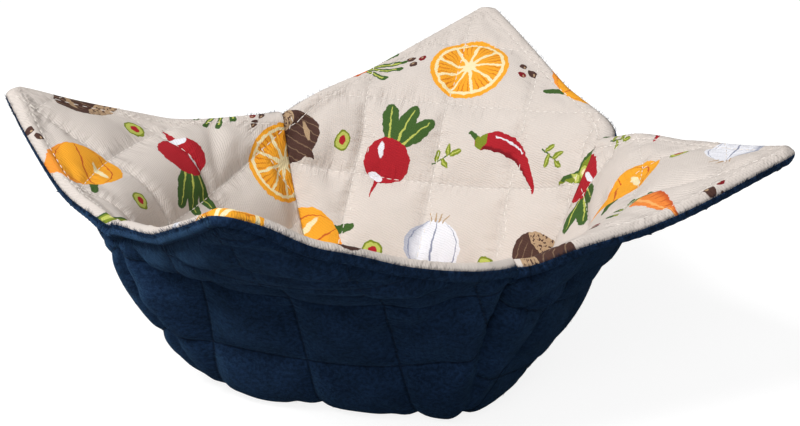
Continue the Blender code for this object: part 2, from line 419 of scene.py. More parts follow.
def layerDepth(x, y, side, fullness):
    rim = fromRim(x, y)
    bulge = np.sqrt(1 - (1 - np.clip(rim / pad["rimRoll"], 0, 1)) ** 2)
    seam = pad["rimSeam"]
    return seam + (side * faceDepth(x, y, side, fullness) - seam) * bulge


def cut(mesh, faces, place, direction, clear=False):
    geometry = dict.fromkeys(faces)         # keeps its order, so that each run cuts alike
    for face in faces:
        geometry.update(dict.fromkeys(face.edges))
        geometry.update(dict.fromkeys(face.verts))
    bmesh.ops.bisect_plane(
        mesh, geom=list(geometry), dist=step / 1000, plane_co=place, plane_no=direction, clear_outer=clear
    )


def cutDart(mesh, sideX, sideY):
    point = square["dartPoint"]
    legs = [(sideX * dartSpread, -sideY, 0), (-sideX, sideY * dartSpread, 0)]

    def cornerFaces():
        centres = [(face, face.calc_center_median()) for face in mesh.faces]
        return [face for face, centre in centres if sideX * centre.x > point and sideY * centre.y > point]

    def inside(face):
        offset = face.calc_center_median() - Vector((sideX * point, sideY * point, 0))
        return all(offset.dot(Vector(leg)) < 0 for leg in legs)

    for leg in legs:
        cut(mesh, cornerFaces(), (sideX * point, sideY * point, 0), leg)
    bmesh.ops.delete(mesh, geom=[face for face in cornerFaces() if inside(face)], context="FACES")


# The square cut out flat: rim, rounded corners and darts, with a mesh line along every stitch line
def cutSquare(cell, edge=0.0):
    mesh = bmesh.new()
    reach = square["halfDiagonal"] + cell
    shiftX = (square["quiltX"] % cell) - cell
    shiftY = (square["quiltY"] % cell) - cell
    count = 2 * math.ceil(reach / cell) + 2
    bmesh.ops.create_grid(mesh, x_segments=count, y_segments=count, size=count * cell / 2)
    bmesh.ops.translate(mesh, vec=(shiftX, shiftY, 0), verts=mesh.verts[:])
    rimAt = square["halfDiagonal"] - edge * math.sqrt(2)
    for sideX, sideY in ((1, 1), (-1, 1), (-1, -1), (1, -1)):
        outwards = (sideX, sideY, 0)
        cut(mesh, mesh.faces[:], (sideX * rimAt, 0, 0), outwards, clear=True)
        for inset in () if edge else square["rimCuts"]:
            cut(mesh, mesh.faces[:], (sideX * (rimAt - inset * math.sqrt(2)), 0, 0), outwards)
    radius = square["cornerRadius"]
    middle = rimAt - radius * math.sqrt(2)
    for turn in range(4):
        for slant in (-30, -15, 0, 15, 30):
            angle = math.radians(90 * turn + slant)
            heading = Vector((math.cos(angle), math.sin(angle), 0))
            centre = middle * Vector((math.cos(math.radians(90 * turn)), math.sin(math.radians(90 * turn)), 0))
            near = [face for face in mesh.faces if (face.calc_center_median() - centre).length < 3 * radius]
            cut(mesh, near, centre + heading * radius, heading, clear=True)
    for sideX, sideY in ((1, 1), (-1, 1), (-1, -1), (1, -1)):
        cutDart(mesh, sideX, sideY)
    layer = mesh.loops.layers.uv.new("cut")
    for face in mesh.faces:
        for loop in face.loops:
            loop[layer].uv = (loop.vert.co.x / clothSpan + 0.5, loop.vert.co.y / clothSpan + 0.5)
    return mesh


clothSpan = 0.400               # the UV square, in metres of flat cloth
# The cloth's puffs between the stitch lines are blown up by a short simulation
swelling = {
    "scale": 10,                # the simulation runs on a larger copy
    "fullness": 0.80,
    "frames": 20,
    "limit": 0.0035,
    "rimHeld": 0.0053,
    "cloth": {
        "quality": 5,
        "mass": 0.02,
        "tension_stiffness": 12,
        "compression_stiffness": 12,
        "shear_stiffness": 4,
        "bending_stiffness": 0.4,
        "air_damping": 2,
        "use_pressure": True,
        "uniform_pressure_force": 6.0,
        "shrink_min": -0.024,
        "shrink_max": -0.024,
    },
}


# Keeps the grooves along the stitches sharp when the cloth is refined
def markCreases(mesh, amount):
    layer = mesh.edges.layers.float.new("crease_edge")
    inset = square["halfDiagonal"] - square["topstitch"] * math.sqrt(2)
    near, halfPitch = step / 16, square["pitch"] / 2
    for edge in mesh.edges:
        first, second = (vert.co for vert in edge.verts)
        rims = [abs(abs(end.x) + abs(end.y) - inset) for end in (first, second)]
        onLine = [
            abs(a - b) < near and abs((a - origin + halfPitch) % square["pitch"] - halfPitch) < near
            for a, b, origin in ((first.x, second.x, square["quiltX"]), (first.y, second.y, square["quiltY"]))
        ]
        if any(onLine) or max(rims) < near:
            edge[layer] = amount


# Blows the loose cloth between the sewn lines outwards, then keeps the result in the mesh
def swell(data, loose, name):
    scene = bpy.context.scene
    count = len(data.vertices)
    start = np.empty(count * 3)
    data.vertices.foreach_get("co", start)
    test = data.copy()
    test.vertices.foreach_set("co", start * swelling["scale"])
    piece = bpy.data.objects.new(name + "Loose", test)
    scene.collection.objects.link(piece)
    group = piece.vertex_groups.new(name="sewn")
    for index, share in enumerate(loose):
        group.add([index], float(1 - share), "REPLACE")
    cloth = piece.modifiers.new("cloth", "CLOTH")
    for label, amount in swelling["cloth"].items():
        setattr(cloth.settings, label, amount)
    cloth.settings.effector_weights.gravity = 0
    cloth.settings.vertex_group_mass = "sewn"
    cloth.collision_settings.use_collision = False
    cloth.point_cache.frame_start = 1
    cloth.point_cache.frame_end = swelling["frames"]
    for number in range(1, swelling["frames"] + 1):
        scene.frame_set(number)
    moved = piece.evaluated_get(bpy.context.evaluated_depsgraph_get()).data
    end = np.empty(count * 3)
    moved.vertices.foreach_get("co", end)
    shift = (end / swelling["scale"] - start).reshape(-1, 3)
    length = np.linalg.norm(shift, axis=1)
    print(name, "swelled by up to", round(float(length.max()) * 1000, 2), "mm")
    shift *= (np.minimum(length, swelling["limit"]) / np.maximum(length, 1e-9))[:, None]
    bpy.data.objects.remove(piece, do_unlink=True)
    bpy.data.meshes.remove(test)
    scene.frame_set(1)
    return (start.reshape(-1, 3) + shift).ravel()


def looseShare(x, y):
    def fromLine(place, origin):
        lines = (place - origin) / square["pitch"]
        return np.abs(lines - np.round(lines)) * square["pitch"]

    nearest = np.minimum(fromLine(x, square["quiltX"]), fromLine(y, square["quiltY"]))
    nearest = np.minimum(nearest, np.minimum(fromDart(x, y), fromRim(x, y) - swelling["rimHeld"]))
    return np.where(nearest > square["cell"] / 3, 1.0, 0.0)


def weld(data):
    mesh = bmesh.new()
    mesh.from_mesh(data)
    bmesh.ops.remove_doubles(mesh, verts=mesh.verts[:], dist=step / 100)
    mesh.to_mesh(data)
    mesh.free()


def fromBmesh(name, mesh, material):
    data = bpy.data.meshes.new(name)
    mesh.to_mesh(data)
    mesh.free()
    data.shade_smooth()
    data.materials.append(material)
    piece = bpy.data.objects.new(name, data)
    bpy.context.scene.collection.objects.link(piece)
    return piece


def makeCloth(name, side, material):
    mesh = cutSquare(square["cell"])
    markCreases(mesh, (outerFace if side < 0 else liningFace)["crease"])
    if side < 0:
        bmesh.ops.reverse_faces(mesh, faces=mesh.faces[:])
    piece = fromBmesh(name, mesh, material)
    data = piece.data
    flat = np.empty(len(data.vertices) * 3)
    data.vertices.foreach_get("co", flat)
    x, y = flat[0::3], flat[1::3]
    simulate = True
    fullness = swelling["fullness"] if simulate else 1.0
    place = drape(x, y, layerDepth(x, y, side, fullness))
    data.vertices.foreach_set("co", place.ravel())
    data.update()
    if simulate:
        place = swell(data, looseShare(x, y), name).reshape(-1, 3)
    if side < 0:
        place[:, 2] = np.maximum(place[:, 2], pad["offFloor"])
    data.vertices.foreach_set("co", place.ravel())
    weld(data)
    smoother = piece.modifiers.new("fine", "SUBSURF")
    smoother.levels = smoother.render_levels = 1
    thick = piece.modifiers.new("cloth", "SOLIDIFY")
    thick.thickness = pad["cloth"]
    thick.offset = -1
    print(name, "cut and draped:", len(data.polygons), "faces")
    return piece


# A value in a node tree. Sums written with such values become math nodes
class value:
    def __init__(self, socket):
        self.socket = socket

    def __add__(self, other):
        return calc("ADD", self, other)

    def __sub__(self, other):
        return calc("SUBTRACT", self, other)

    def __rsub__(self, other):
        return calc("SUBTRACT", other, self)

    def __mul__(self, other):
        return calc("MULTIPLY", self, other)

    def __truediv__(self, other):
        return calc("DIVIDE", self, other)

    def __rtruediv__(self, other):
        return calc("DIVIDE", other, self)

    def __mod__(self, other):
        return calc("FLOORED_MODULO", self, other)

    def __abs__(self):
        return calc("ABSOLUTE", self)


def treeOf(*items):
    return next(item.socket.id_data for item in items if isinstance(item, value))


# Feeds node inputs, in their order, from values or plain numbers
def feed(sockets, *items):
    for item, socket in zip(items, sockets):
        if isinstance(item, value):
            socket.id_data.links.new(item.socket, socket)
        else:
            socket.default_value = item


def calc(operation, *items):
    node = treeOf(*items).nodes.new("ShaderNodeMath")
    node.operation = operation
    feed(node.inputs, *items)
    return value(node.outputs[0])


def distance(x, y):
    return calc("SQRT", x * x + y * y)


# Turns a value between low and high into one between start and end, with soft ends
def ramp(item, low, high, start=0.0, end=1.0, kind="SMOOTHSTEP"):
    node = treeOf(item).nodes.new("ShaderNodeMapRange")
    node.interpolation_type = kind
    labels = ("Value", "From Min", "From Max", "To Min", "To Max")
    feed([node.inputs[label] for label in labels], item, low, high, start, end)
    return value(node.outputs["Result"])


def line(item, low, high, start=0.0, end=1.0):
    return ramp(item, low, high, start, end, kind="LINEAR")


softEdge = 0.12                 # mm, half the width of a print's blurred edge


def within(item):
    return ramp(item, -softEdge, softEdge)


# Lays a colour over another where the mask is 1
def paint(under, mask, colour):
    node = treeOf(mask).nodes.new("ShaderNodeMix")
    node.data_type = "RGBA"
    under, colour = (item if isinstance(item, value) else (*item, 1) for item in (under, colour))
    feed([node.inputs[number] for number in (0, 6, 7)], mask, under, colour)
    return value(node.outputs[2])


def point(x, y, z=0.0):
    node = treeOf(x).nodes.new("ShaderNodeCombineXYZ")
    feed(node.inputs, x, y, z)
    return value(node.outputs[0])


# Scales a vector or a colour
def scaled(item, factor):
    node = treeOf(item, factor).nodes.new("ShaderNodeVectorMath")
    node.operation = "SCALE"
    feed([node.inputs[0], node.inputs["Scale"]], item, factor)
    return value(node.outputs[0])


def noise(vector, scale, detail=2.0, roughness=0.5):
    node = treeOf(vector).nodes.new("ShaderNodeTexNoise")
    labels = ("Vector", "Scale", "Detail", "Roughness")
    feed([node.inputs[label] for label in labels], vector, scale, detail, roughness)
    return value(node.outputs["Fac"])


kinds = {"Colour": "NodeSocketColor", "Vector": "NodeSocketVector"}


# A new node group from the names of its inputs and outputs
def newGroup(name, inputs, outputs):
    tree = bpy.data.node_groups.new(name, "ShaderNodeTree")
    for label in inputs.split():
        tree.interface.new_socket(name=label, in_out="INPUT", socket_type=kinds.get(label, "NodeSocketFloat"))
    for label in outputs.split():
        tree.interface.new_socket(name=label, in_out="OUTPUT", socket_type=kinds.get(label, "NodeSocketFloat"))
    given = tree.nodes.new("NodeGroupInput").outputs
    return tree, [value(given[label]) for label in inputs.split()], tree.nodes.new("NodeGroupOutput").inputs


def useGroup(group, *items):
    node = treeOf(*items).nodes.new("ShaderNodeGroup")
    node.node_tree = group
    feed(node.inputs, *items)
    return {socket.name: value(socket) for socket in node.outputs}


def ovalGroup():
    labels = "Across Along CentreX CentreY HalfWidth HalfLength Turn"
    tree, given, made = newGroup("oval", labels, "Mask")
    across, along, centreX, centreY, halfWidth, halfLength, turn = given
    x, y = across - centreX, along - centreY
    cosine, sine = calc("COSINE", turn), calc("SINE", turn)
    away = distance((x * cosine + y * sine) / halfWidth, (y * cosine - x * sine) / halfLength)
    feed(made, within((1.0 - away) * halfWidth))
    return tree


def strokeGroup():
    labels = "Across Along StartX StartY EndX EndY Width EndWidth"
    tree, given, made = newGroup("stroke", labels, "Mask")
    across, along, startX, startY, endX, endY, width, endWidth = given
    x, y, runX, runY = across - startX, along - startY, endX - startX, endY - startY
    share = line((x * runX + y * runY) / (runX * runX + runY * runY), 0.0, 1.0)
    wide = line(share, 0.0, 1.0, width, endWidth)
    feed(made, within(wide - distance(x - runX * share, y - runY * share)))
    return tree


oval, stroke = ovalGroup(), strokeGroup()
palette = {
    "cloth": (0.645, 0.580, 0.532),
    "orange": (0.800, 0.230, 0.040),
    "deepOrange": (0.560, 0.095, 0.018),
    "paleOrange": (0.900, 0.420, 0.130),
    "golden": (0.860, 0.370, 0.025),
    "deepGolden": (0.640, 0.190, 0.012),
    "cream": (0.860, 0.740, 0.440),
    "crimson": (0.390, 0.013, 0.022),
    "deepCrimson": (0.190, 0.006, 0.012),
    "olive": (0.190, 0.240, 0.020),
    "deepGreen": (0.050, 0.110, 0.024),
    "lime": (0.480, 0.520, 0.110),
    "white": (0.780, 0.780, 0.830),
    "slate": (0.230, 0.250, 0.340),
    "brown": (0.075, 0.036, 0.028),
    "tan": (0.440, 0.300, 0.180),
}


# Each motif is drawn in millimetres round its own middle, and gives its colour and where it covers the cloth
class motif:
    def __init__(self, name):
        self.tree, (self.across, self.along), self.made = newGroup(name, "Across Along", "Colour Mask")
        self.colour, self.mask = palette["cloth"], 0.0

    # A new shape, or with inside=True a detail only on what is already drawn
    def lay(self, mask, colour, inside=False):
        if inside:
            mask = mask * self.mask
        else:
            self.mask = calc("MAXIMUM", self.mask, mask)
        self.colour = paint(self.colour, mask, palette[colour])

    def oval(self, colour, x, y, halfWidth, halfLength, turn=0.0, inside=False):
        sizes = (x, y, halfWidth, halfLength, math.radians(turn))
        self.lay(useGroup(oval, self.across, self.along, *sizes)["Mask"], colour, inside)

    def stroke(self, colour, x, y, endX, endY, width, endWidth):
        self.lay(useGroup(stroke, self.across, self.along, x, y, endX, endY, width, endWidth)["Mask"], colour)

    def done(self):
        feed(self.made, self.colour, self.mask)
        return self.tree


def carrot():
    m = motif("carrot")
    for endX, endY in ((-6.5, 13.0), (-2.5, 16.5), (2.0, 16.0), (6.0, 12.0)):
        m.stroke("deepGreen", 0.0, 4.0, endX, endY, 0.6, 1.1)
        m.stroke("lime", 0.0, 4.0, endX * 0.9, endY * 0.92, 0.2, 0.35)
    width = line(m.along, -16.0, 4.0, 0.3, 5.4) * calc("SQRT", line(m.along, 6.0, 2.5))
    side = m.across / calc("MAXIMUM", width, 0.2)
    body = within(width - abs(m.across))
    m.lay(body, "orange")
    m.lay(body * ramp(side, 0.35, 0.95), "deepOrange")
    m.lay(body * ramp(abs(side + 0.4), 0.22, 0.05), "paleOrange")
    rings = ramp(calc("SINE", m.along * 2.1 + side * 1.2), 0.86, 0.94) * ramp(side, -0.1, 0.25)
    m.lay(rings * body, "deepOrange")
    return m.done()


def radish():
    m = motif("radish")
    for x, y, turn in ((-4.8, 8.5, 28), (4.6, 9.0, -24), (0.2, 10.5, 2)):
        m.oval("deepGreen", x, y, 2.8, 7.0, turn)
        lean = math.sin(math.radians(turn))
        m.stroke("lime", x + 6.0 * lean, y - 6.0, x - 5.0 * lean, y + 5.0, 0.45, 0.15)
    m.stroke("crimson", 0.0, -9.0, 1.8, -16.5, 1.0, 0.2)
    m.oval("crimson", 0.0, -3.2, 8.0, 7.4)
    m.oval("deepCrimson", 3.2, -4.6, 5.6, 6.2, 20, inside=True)
    m.oval("crimson", 1.6, -3.4, 6.4, 6.6, 10, inside=True)
    m.oval("white", -3.2, -0.8, 1.0, 2.6, 24, inside=True)
    m.oval("white", -0.8, -9.4, 2.6, 1.3, inside=True)
    return m.done()


def citrus():
    m = motif("citrus")
    away = distance(m.across, m.along)
    angle = calc("ARCTAN2", m.along, m.across)
    m.lay(within(13.0 - away), "golden")
    m.lay(within(11.6 - away), "cream", inside=True)
    spokes = abs(calc("SINE", angle * 4.5)) * away
    flesh = within(10.6 - away) * within(spokes - 2.2) * within(away - 1.8)
    m.lay(flesh, "golden", inside=True)
    streaks = ramp(calc("SINE", angle * 36.0), 0.45, 0.9) * flesh * ramp(away, 3.0, 9.5)
    m.lay(streaks, "deepGolden", inside=True)
    return m.done()


def peaPod():
    m = motif("peaPod")
    bent = m.across * m.across * 0.022 + (m.along - 2.5)
    thick = (1.0 - calc("POWER", m.across / 15.5, 2.0)) * 4.7
    m.stroke("olive", 13.0, -1.5, 16.8, -3.0, 0.9, 0.5)
    m.lay(within(thick - abs(bent)), "deepGreen")
    m.lay(within(thick - abs(bent - 1.2)), "olive", inside=True)
    away = distance(m.across % 4.6 - 2.3, bent)
    row = ramp(abs(m.across), 11.8, 11.2)
    m.lay(within(2.1 - away) * row, "lime", inside=True)
    m.lay(ramp(away, 1.2, 0.4) * row, "cream", inside=True)
    return m.done()


# Bulb with curved lines from top to bottom, for the garlic and the pumpkin
def ribbed(m, halfWidth, halfLength, lift, ribs, body, lines, shade):
    height = (m.along - lift) / halfLength
    width = calc("SQRT", calc("MAXIMUM", 1.0 - height * height, 0.001)) * halfWidth
    side = m.across / width
    mask = within(width - abs(m.across)) * ramp(abs(height), 1.0, 0.98)
    m.lay(mask, body)
    wave = abs(calc("SINE", calc("ARCSINE", line(side, -1.0, 1.0, -1.0, 1.0)) * ribs))
    m.lay(mask * ramp(side, 0.5, 1.0, 0.0, 0.7), shade)
    m.lay(mask * ramp(wave, 0.16, 0.04), lines)


def garlic():
    m = motif("garlic")
    m.stroke("white", 0.0, 2.0, 1.5, 15.0, 3.0, 0.9)
    m.stroke("slate", 0.9, 5.0, 2.0, 14.0, 0.3, 0.2)
    ribbed(m, 9.5, 8.0, -3.5, 3.0, "white", "slate", "slate")
    for x in (-2.4, -0.8, 0.8, 2.4):
        m.stroke("tan", x * 0.8, -11.0, x * 1.4, -13.5, 0.3, 0.2)
    return m.done()


def pumpkin():
    m = motif("pumpkin")
    m.stroke("deepGreen", 0.0, 7.0, 2.8, 13.0, 1.7, 1.2)
    ribbed(m, 13.5, 9.5, -1.0, 4.0, "golden", "deepOrange", "orange")
    m.oval("cream", -5.5, 1.0, 1.0, 4.2, 12, inside=True)
    return m.done()


def chestnut():
    m = motif("chestnut")
    m.stroke("brown", 0.0, 4.0, 0.4, 11.0, 4.0, 0.3)
    m.oval("brown", 0.0, 0.0, 10.5, 8.6)
    m.oval("tan", 0.0, -6.4, 8.6, 3.3, inside=True)
    spot = useGroup(oval, m.across, m.along, 0.0, -6.4, 8.2, 3.0, 0.0)["Mask"]
    m.lay(spot * ramp(noise(point(m.across, m.along), 1.3, 1.0), 0.56, 0.60), "brown", inside=True)
    m.oval("tan", -4.6, 2.2, 0.9, 3.6, -32, inside=True)
    lines = ramp(calc("SINE", m.across * 2.4 + m.along * 0.5), 0.88, 0.97, 0.0, 0.35)
    m.lay(lines * ramp(m.along, -3.4, -1.5), "tan", inside=True)
    return m.done()


def chilli():
    m = motif("chilli")
    bent = m.across * m.across * 0.030 + (m.along - 3.0)
    thick = calc("SQRT", line(m.across, 16.0, -12.0)) * 3.9 * calc("SQRT", line(m.across, -12.5, -9.0))
    m.stroke("deepGreen", -11.0, -1.0, -15.5, -0.5, 1.1, 0.7)
    m.lay(within(thick - abs(bent)), "crimson")
    m.oval("olive", -11.0, -0.6, 1.8, 3.2, 20, inside=True)
    m.lay(ramp(bent + thick * 0.45, 0.0, -1.0) * ramp(m.across, -9.5, -8.5), "deepCrimson", inside=True)
    spot = useGroup(oval, m.across, m.along, -2.0, 4.0, 6.5, 3.0, 0.0)["Mask"]
    m.lay(ramp(abs(bent - thick * 0.45), 0.45, 0.2) * spot, "white", inside=True)
    return m.done()


# Small things between the motifs
def peppercorns():
    m = motif("peppercorns")
    grains = ((-2.2, 0.6, 1.7, "brown"), (1.9, 1.8, 1.4, "deepCrimson"), (0.6, -2.4, 1.5, "brown"))
    for x, y, size, colour in grains:
        m.oval(colour, x, y, size, size)
        m.oval("tan", x - size * 0.3, y + size * 0.3, size * 0.25, size * 0.35)
    return m.done()


def oliveRing():
    m = motif("oliveRing")
    m.oval("olive", 0.0, 0.0, 3.2, 4.0)
    m.oval("lime", 0.0, 0.0, 2.5, 3.2, inside=True)
    m.oval("crimson", 0.0, 0.2, 1.3, 1.7, inside=True)
    return m.done()


def sprig():
    m = motif("sprig")
    m.stroke("deepGreen", -5.5, -1.0, 4.5, 1.0, 0.35, 0.25)
    for x, y, turn in ((-3.0, 1.6, -24), (-0.6, -2.0, 204), (1.8, 2.2, -20), (4.6, 0.4, -80)):
        m.oval("olive", x, y, 1.1, 2.4, turn)
        m.oval("lime", x, y, 0.25, 2.0, turn)
    return m.done()


# Millimetres; the small things have a seed of their own and are left out by chance, up to the share "small"
layout = {
    "column": 43.0,
    "row": 38.0,
    "loose": 3.0,
    "seed": 3.0,
    "smallSeed": 8.0,
    "small": 0.25,
    "enlarge": 1.13,
    "shakeScale": 0.45,
    "shake": 1.6,
}


# Sets motifs out in offset rows: which motif a point falls in, and where on that motif
def scatterGroup(count):
    tree, (across, along, width, height, seed, loose), made = newGroup(
        "scatter", "Across Along Column Row Seed Loose", "MotifAcross MotifAlong Kind Chance"
    )
    row = calc("FLOOR", along / height)
    x = across + row % 2.0 * (width * 0.5)
    column = calc("FLOOR", x / width)
    dice = tree.nodes.new("ShaderNodeTexWhiteNoise")
    dice.noise_dimensions = "3D"
    feed(dice.inputs, point(column, row, seed))
    parts = tree.nodes.new("ShaderNodeSeparateColor")
    feed(parts.inputs, value(dice.outputs["Color"]))
    red, green, blue = (value(socket) for socket in parts.outputs)
    x = x - (column + 0.5) * width + (red - 0.5) * loose
    y = along - (row + 0.5) * height + (green - 0.5) * loose
    cosine, sine = (calc(name, blue * (2 * math.pi)) for name in ("COSINE", "SINE"))
    kind = (column * 3.0 + row) % float(count)
    feed(made, x * cosine + y * sine, y * cosine - x * sine, kind, value(dice.outputs["Value"]))
    return tree


def printGroup():
    motifs = (carrot(), garlic(), chilli(), citrus(), chestnut(), peaPod(), pumpkin(), radish())
    fillers = (peppercorns(), oliveRing(), sprig())
    scatter = scatterGroup(len(motifs))
    tree, places, made = newGroup("gardenPrint", "Across Along", "Colour Mask")
    across, along = places
    shakes = [noise(place, layout["shakeScale"]) for place in (point(across, along), point(along, across, 7.0))]
    across, along = ((shake - 0.5) * layout["shake"] + place for shake, place in zip(shakes, places))
    grid = (layout["column"], layout["row"])
    small = useGroup(
        scatter, across + layout["column"] / 2, along, *grid, layout["smallSeed"], layout["loose"]
    )
    large = useGroup(scatter, across, along, *grid, layout["seed"], layout["loose"])
    kept = line(small["Chance"], layout["small"], layout["small"] + 0.01)
    colour, cover = palette["cloth"], 0.0
    sets = ((small, fillers, 1.0, kept), (large, motifs, layout["enlarge"], 1.0))
    for placed, drawings, size, share in sets:
        kind = placed["Kind"] % float(len(drawings))
        for number, drawing in enumerate(drawings):
            drawn = useGroup(drawing, placed["MotifAcross"] / size, placed["MotifAlong"] / size)
            mask = drawn["Mask"] * calc("COMPARE", kind, float(number), 0.5) * share
            colour, cover = paint(colour, mask, drawn["Colour"]), calc("MAXIMUM", cover, mask)
    feed(made, colour, cover)
    return tree


# Twill: fine slanting ribs of yarn, a little uneven
def twillGroup():
    tree, (across, along, rib), made = newGroup("twill", "Across Along Rib", "Shade Height")
    place = point(across, along)
    slant = across * 0.35 + (along + noise(place, 0.15, 3.0) * 2.5)
    ribs, crossing = (calc("SINE", run * (2 * math.pi / rib)) for run in (slant, across))
    yarn, patches = noise(place, 2.2, 3.0, 0.7), noise(place, 0.05, 3.0)
    shade = ribs * 0.030 + (yarn * 0.10 + 0.90) + (patches - 0.5) * 0.10
    feed(made, shade, ribs * 0.35 + (crossing * 0.12 + yarn))
    return tree


# Brushed nap: short fibres lying in soft patches
def napGroup():
    tree, (vector, scale), made = newGroup("nap", "Vector Scale", "Shade Height")
    place = scaled(vector, scale)
    fibres, tufts = noise(place, 2.2, 5.0, 0.8), noise(place, 0.8, 3.0, 0.6)
    patches = noise(place, 0.09, 4.0, 0.6)
    shade = ramp(fibres, 0.30, 0.75, 0.30, 1.05) + ramp(tufts, 0.35, 0.65, 0.0, 0.50)
    feed(made, shade * ramp(patches, 0.30, 0.70, 0.78, 1.22), tufts * 0.8 + fibres)
    return tree


# Millimetres, and waves to the millimetre: the puckers are short along the thread and run far across it
needle = {
    "groove": 0.75,
    "thread": 0.1,
    "reach": 8.0,
    "rimReach": 4.0,
    "across": 0.10,
    "along": 0.42,
    "rimWave": 0.30,
    "flapFrom": 95.0,           # fainter from here on, out on the flaps
    "flapFull": 115.0,
    "flapShare": 0.45,
}


# Where the needle runs: a narrow groove, whose mask the cloths use for a bump and to darken their colour as
# painted shade, and the small puckers that the thread draws beside it
def quiltingGroup():
    tree, (across, along), made = newGroup("quilting", "Across Along", "Line Height")
    mm = 1000
    inset = (square["halfDiagonal"] - square["topstitch"] * math.sqrt(2)) * mm
    rimAway = abs(abs(across) + abs(along) - inset) * math.sqrt(0.5)
    awayX, awayY = (
        calc("PINGPONG", place - origin * mm, square["pitch"] * mm / 2)
        for place, origin in ((across, square["quiltX"]), (along, square["quiltY"]))
    )
    groove, height = 0.0, 0.0
    for away, waveX, waveY, reach in (
        (awayX, needle["across"], needle["along"], needle["reach"]),
        (awayY, needle["along"], needle["across"], needle["reach"]),
        (rimAway, needle["rimWave"], needle["rimWave"], needle["rimReach"]),
    ):
        waves = noise(point(across * waveX, along * waveY), 1.0, 2.0, 0.6)
        height = waves * ramp(away, reach, 0.5) + height
        groove = calc("MAXIMUM", groove, ramp(away, needle["groove"], needle["thread"]))
    out = calc("MAXIMUM", abs(across), abs(along))
    calmer = ramp(out, needle["flapFrom"], needle["flapFull"], 1.0, needle["flapShare"])
    feed(made, groove * calmer, height)
    return tree


def newMaterial(name, roughness, specular=0.2):
    material = bpy.data.materials.new(name)
    material.use_nodes = True
    shader = material.node_tree.nodes["Principled BSDF"]
    shader.inputs["Roughness"].default_value = roughness
    shader.inputs["Specular IOR Level"].default_value = specular
    return material, material.node_tree, shader


def coloured(shader, colour, shade):
    feed([shader.inputs["Base Color"]], scaled(colour, shade))


def bumped(shader, height, unit):
    bump = shader.id_data.nodes.new("ShaderNodeBump")
    bump.inputs["Distance"].default_value = unit
    feed([bump.inputs["Height"]], height)
    feed([shader.inputs["Normal"]], value(bump.outputs["Normal"]))


def mapped(tree, socket, scale, offset=0.0):
    mapping = tree.nodes.new("ShaderNodeMapping")
    mapping.inputs["Scale"].default_value = (scale,) * 3
    mapping.inputs["Location"].default_value = (offset,) * 3
    tree.links.new(socket, mapping.inputs["Vector"])
    return mapping.outputs[0]


# Millimetres on the flat cloth, or in the room for pieces that aren't cut from it
def clothPlace(tree):
    flat = tree.nodes.new("ShaderNodeUVMap")
    flat.uv_map = "cut"
    parts = tree.nodes.new("ShaderNodeSeparateXYZ")
    tree.links.new(mapped(tree, flat.outputs[0], clothSpan * 1000, -clothSpan * 500), parts.inputs[0])
    return value(parts.outputs[0]), value(parts.outputs[1])


def roomPlace(tree):
    return value(mapped(tree, tree.nodes.new("ShaderNodeTexCoord").outputs["Object"], 1000.0))


nap, twill, quilting = napGroup(), twillGroup(), quiltingGroup()

# How each cloth looks: colour scales in the open and in the groove of a seam, the groove's darker scale being
# painted shade, and heights of bumps in millimetres
navyLook = {
    "colour": (0.0118, 0.0300, 0.0740),
    "open": 1.15,
    "sewn": 0.60,
    "nap": 0.34,
    "pucker": 1.0,
    "groove": 0.25,
    "sheen": 0.28,
    "sheenRoughness": 0.25,
    "sheenTint": (0.15, 0.38, 0.70, 1),
}
twillLook = {"rib": 0.85, "open": 1.0, "sewn": 0.94, "weave": 0.11, "pucker": 0.9, "groove": 0.10}


def makeNavyCotton():
    material, tree, shader = newMaterial("navyCotton", 0.95, 0.06)
    across, along = clothPlace(tree)
    fuzz = useGroup(nap, point(across, along), 1.0)
    sewn = useGroup(quilting, across, along)
    # The navy colour darkens along the quilting grooves: painted shade
    shade = fuzz["Shade"] * line(sewn["Line"], 0.0, 1.0, navyLook["open"], navyLook["sewn"])
    coloured(shader, navyLook["colour"], shade)
    shader.inputs["Sheen Weight"].default_value = navyLook["sheen"]
    shader.inputs["Sheen Roughness"].default_value = navyLook["sheenRoughness"]
    shader.inputs["Sheen Tint"].default_value = navyLook["sheenTint"]
    height = fuzz["Height"] * navyLook["nap"] + sewn["Height"] * navyLook["pucker"]
    bumped(shader, height - sewn["Line"] * navyLook["groove"], 0.001)
    return material


def makePrintedTwill():
    material, tree, shader = newMaterial("printedTwill", 0.9)
    across, along = clothPlace(tree)
    drawn = useGroup(printGroup(), across, along)
    weave = useGroup(twill, across, along, twillLook["rib"])
    sewn = useGroup(quilting, across, along)
    # The twill colour darkens a little along the quilting grooves: painted shade
    shade = weave["Shade"] * line(sewn["Line"], 0.0, 1.0, twillLook["open"], twillLook["sewn"])
    coloured(shader, drawn["Colour"], shade)
    height = weave["Height"] * twillLook["weave"] + sewn["Height"] * twillLook["pucker"]
    bumped(shader, height - sewn["Line"] * twillLook["groove"], 0.001)
    return material


# Thread, loose nap or wadding: a plain fibre in uneven shades
def makeFibre(name, colour, roughness=0.75, scale=2.0, uneven=0.3, even=0.75, bump=0.00010):
    material, tree, shader = newMaterial(name, roughness)
    fuzz = useGroup(nap, roomPlace(tree), scale)
    coloured(shader, colour, fuzz["Shade"] * uneven + even)
    bumped(shader, fuzz["Height"], bump)
    return material


navyCotton = makeNavyCotton()
printedTwill = makePrintedTwill()
whiteThread = makeFibre("whiteThread", (0.74, 0.69, 0.64))
navyThread = makeFibre("navyThread", (0.006, 0.018, 0.050))
waddingFibre = makeFibre("wadding", (0.82, 0.79, 0.72), 1.0, 0.6, 0.4, 0.65, 0.0006)
print("cloths, threads and print mixed")

outerCloth = makeCloth("outerCloth", -1, navyCotton)
liningCloth = makeCloth("liningCloth", 1, printedTwill)


